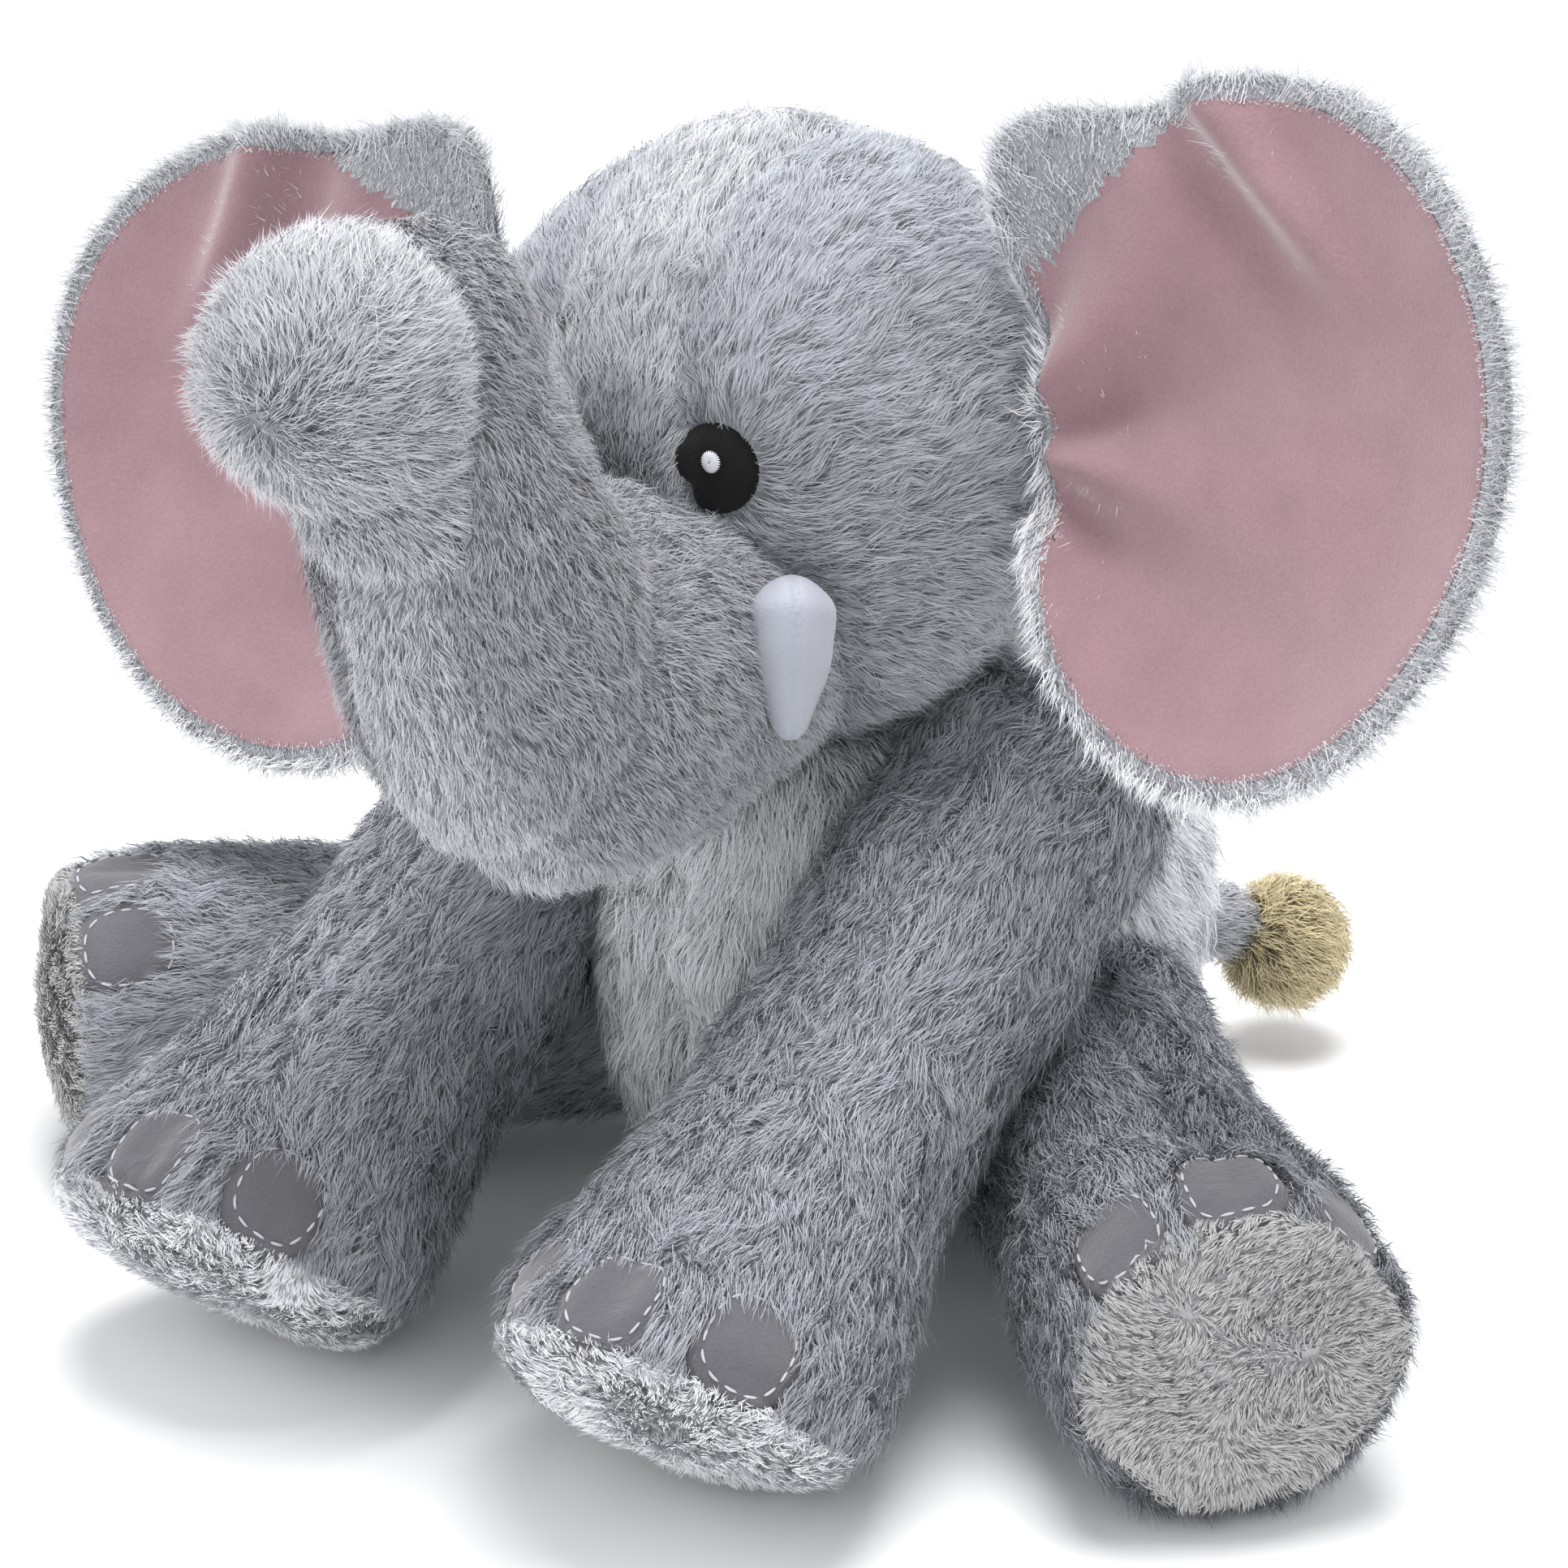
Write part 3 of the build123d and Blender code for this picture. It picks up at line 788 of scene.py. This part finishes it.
def ear(side, name):
    """A soft dish: velvet in front, pile behind, the pile edge rolled over the rim."""
    back_co, _ = arrays(NODES["ear_back_" + name].data)
    front_co, _ = arrays(NODES["ear_lining_" + name].data)
    c = (back_co.mean(0) + front_co.mean(0)) / 2
    axes = np.linalg.svd(back_co - back_co.mean(0), full_matrices=False)[2]
    n = axes[2] if np.dot(axes[2], [0, -1, 0]) > 0 else -axes[2]
    up = axes[0] if axes[0][2] > 0 else -axes[0]
    out = np.cross(up, n)
    out = out if out[0] * side > 0 else -out
    flat = (back_co - c) @ np.stack([out, up, n], 1)
    half_w, half_h = np.abs(flat[:, 0]).max(), np.abs(flat[:, 1]).max()
    rings, steps = 34, 150

    def place(r, a, lift):
        # the furry corner next to the head
        bump = 1 + 0.34 * np.exp(-((np.mod(a, 2 * math.pi) - 2.56) / 0.30) ** 2)
        x = r * bump * half_w * np.cos(a) * (1 + 0.05 * np.sin(a))
        y = r * bump * half_h * np.sin(a)
        inner = ramp(-x, half_w * 0.35, half_w)
        x = x + inner * half_w * 0.10 * np.cos(a) ** 2
        z = (x * x + y * y) / (2 * DISH_RADIUS) - 0.005
        # folds that fan out from where the ear is sewn on
        hinge_x, hinge_y = -half_w, -0.1 * half_h
        d = np.hypot(x - hinge_x, y - hinge_y)
        t = np.arctan2(y - hinge_y, x - hinge_x)
        fold = np.exp(-(d / 0.055) ** 2) * ramp(d, 0.004, 0.025)
        z = z + 0.0062 * np.cos(6.2 * t + 0.6) * fold
        z = z + 0.0016 * np.sin(x * 70 + 1.0) * np.cos(y * 52) * (1 - r * 0.3)
        # one deep pleat across the upper corner
        across = (x + 0.006) * 0.75 + (y - half_h * 0.80) * 0.66
        pleat = np.exp(-(across / 0.0065) ** 2) - 0.6 * np.exp(-((across + 0.013) / 0.0075) ** 2)
        z = z + 0.0075 * pleat * ramp(y, half_h * 0.30, half_h * 0.70)
        return c + x[:, None] * out + y[:, None] * up + (z + lift)[:, None] * n

    ang = np.arange(steps) * 2 * math.pi / steps

    def sheet(lo, hi, count, lift_of):
        rows = [place(np.full(steps, r), ang, np.full(steps, lift_of(r)))
                for r in np.linspace(lo, hi, count)]
        return np.vstack(rows), bands(count - 1, steps)

    def folded(co, faces):
        """The corner beyond the pleat, where the pile wraps round to the front."""
        d = co[faces].mean(1) - c
        return (d @ out / half_w + 0.92) * -0.66 + (d @ up / half_h - 0.42) * 0.75 > 0

    def front_lift(r):
        return EAR_THICK * 0.5 - EAR_THICK * 0.5 * max(0, (r - 0.9) / 0.1) ** 2

    def back_lift(r):
        return -EAR_THICK * 0.5 + EAR_THICK * 0.45 * max(0, (r - 0.9) / 0.1) ** 2

    co, faces = sheet(0.0, 0.935, rings, front_lift)
    corner_co, corner_f = co, faces[folded(co, faces)]
    faces = faces[~folded(co, faces)]
    if side < 0:
        faces = faces[:, ::-1]
    lining = make_object("ear_lining_%s_velvet" % name, co, faces, PINK)
    attach(lining, "ear_" + name, ["ear_lining_" + name])
    co, faces = sheet(0.0, 1.0, rings, back_lift)
    rim_co, rim_f = sheet(0.915, 1.0, 7, lambda r: front_lift(r) * 0.9)
    if side > 0:
        faces = faces[:, ::-1]
    else:
        rim_f, corner_f = rim_f[:, ::-1], corner_f[:, ::-1]
    all_f = np.vstack([faces, rim_f + len(co), corner_f + len(co) + len(rim_co)])
    all_co = np.vstack([co, rim_co, corner_co])
    tri = np.vstack([all_f[:, [0, 1, 2]], all_f[:, [0, 2, 3]]])
    backing = make_object("ear_back_%s_cloth" % name, all_co, all_f, BACKING)
    attach(backing, "ear_" + name, ["ear_back_" + name])
    nor = vertex_normals(all_co, tri)
    base = {"co": all_co, "nor": nor, "seam": np.full(len(all_co), FAR)}

    def comb(p, m):
        """From the root of the ear toward its rim."""
        return unit(p - (c - out * half_w * 0.9)) * 0.7 + unit(p - c) * 0.8

    # The pile behind the ear is paler than the grey: partly its own paler rim, partly painted light
    # on a back in shade.
    fur = grow_pile("ear_back_%s_pile" % name, base, tri, comb, per_mm2=2.8, length=8.5, lift=0.42,
                    material=PILE_PAINTED_LIGHT, seed=120 + side, fall=0.1)
    attach(fur, "ear_" + name)


for side, name in SIDES:
    ear(side, name)

# ------------------------------------------------------------ tail
tail = Form(["tail_stem", "tail_tuft"], [], voxel=0.0012, passes=6, lump=0.0004, seed=13)
tail_hinge = joint_at("tail_wag")
tuft_mid = middle("tail_tuft")
tuft_root = tuft_mid + unit(tail_hinge - tuft_mid) * 0.006
dress(tail, "tail_stem", "tail", "pile_light", along_line(tail_hinge, tuft_mid, 0.2),
      pile=PILE_LIGHT, seed=131, length=7.0, lift=0.5, per_mm2=1.8)
dress(tail, "tail_tuft", "tail", "tuft_tan", away_from(tuft_root), cloth=BACKING_TAN,
      pile=PILE_TAN, seed=132, length=9.5, lift=0.85, per_mm2=4.0, wild=0.35, clump=2.2, pull=0.5,
      seam_cut=0)

# ------------------------------------------------------------ floor, light, camera
floor_mat, nt, b = shader("floor", 0.9)
speck = node(nt, "ShaderNodeTexNoise", Scale=3.0, Detail=2.0)
floor_colour = mix(nt, speck.outputs["Fac"], (0.93, 0.93, 0.935), (0.96, 0.96, 0.96))
nt.links.new(floor_colour, b.inputs["Base Color"])
bpy.ops.mesh.primitive_plane_add(size=12, location=(0, 0, -0.0005))
floor = bpy.context.object
floor.name = "floor"
floor.data.materials.append(floor_mat)

scene = bpy.context.scene
scene.view_settings.view_transform = "Standard"
# The backdrop is near white to the camera, and a little weaker as light on the toy.
WORLD_LIGHT, WORLD_SEEN = 0.84, 1.0
world = bpy.data.worlds.new("studio")
world.use_nodes = True
world_nt = world.node_tree
backdrop = world_nt.nodes["Background"]
backdrop.inputs["Color"].default_value = (0.97, 0.98, 1.0, 1)
seen = world_nt.nodes.new("ShaderNodeLightPath")
level = world_nt.nodes.new("ShaderNodeMapRange")
level.inputs["To Min"].default_value = WORLD_LIGHT
level.inputs["To Max"].default_value = WORLD_SEEN
world_nt.links.new(seen.outputs["Is Camera Ray"], level.inputs["Value"])
world_nt.links.new(level.outputs["Result"], backdrop.inputs["Strength"])
scene.world = world

centre = np.array([0, -0.031, 0.130])


def softbox(name, offset, size, power, colour=(1, 1, 1)):
    data = bpy.data.lights.new(name, "AREA")
    data.shape, data.size, data.energy, data.color = "DISK", size, power, colour
    lamp = bpy.data.objects.new(name, data)
    scene.collection.objects.link(lamp)
    lamp.location = Vector(centre) + Vector(offset)
    lamp.rotation_mode = "QUATERNION"
    lamp.rotation_quaternion = (-Vector(offset)).to_track_quat("-Z", "Y")


softbox("key", (0.05, 0.0, 1.30), 0.9, 21.0)
softbox("fill", (-0.9, -0.9, 0.5), 1.0, 2.0)
softbox("low fill", (0.25, -1.1, 0.10), 0.9, 3.2)

# The photograph's viewing angle, solved from the toy's four feet.
AZIMUTH, ELEVATION, DISTANCE = math.radians(33.35), math.radians(20.8), 1.2
back = np.array([math.sin(AZIMUTH) * math.cos(ELEVATION),
                 -math.cos(AZIMUTH) * math.cos(ELEVATION), math.sin(ELEVATION)])
right = np.array([math.cos(AZIMUTH), math.sin(AZIMUTH), 0])
above = np.cross(back, right)
aim = centre - right * 0.0122 - above * 0.0285
eye_point = centre + back * DISTANCE
cam_data = bpy.data.cameras.new("camera")
cam_data.lens, cam_data.sensor_width = 124.5, 36
cam = bpy.data.objects.new("camera", cam_data)
scene.collection.objects.link(cam)
cam.location = Vector(eye_point)
cam.rotation_mode = "QUATERNION"
cam.rotation_quaternion = Vector(aim - eye_point).to_track_quat("-Z", "Y")
scene.camera = cam
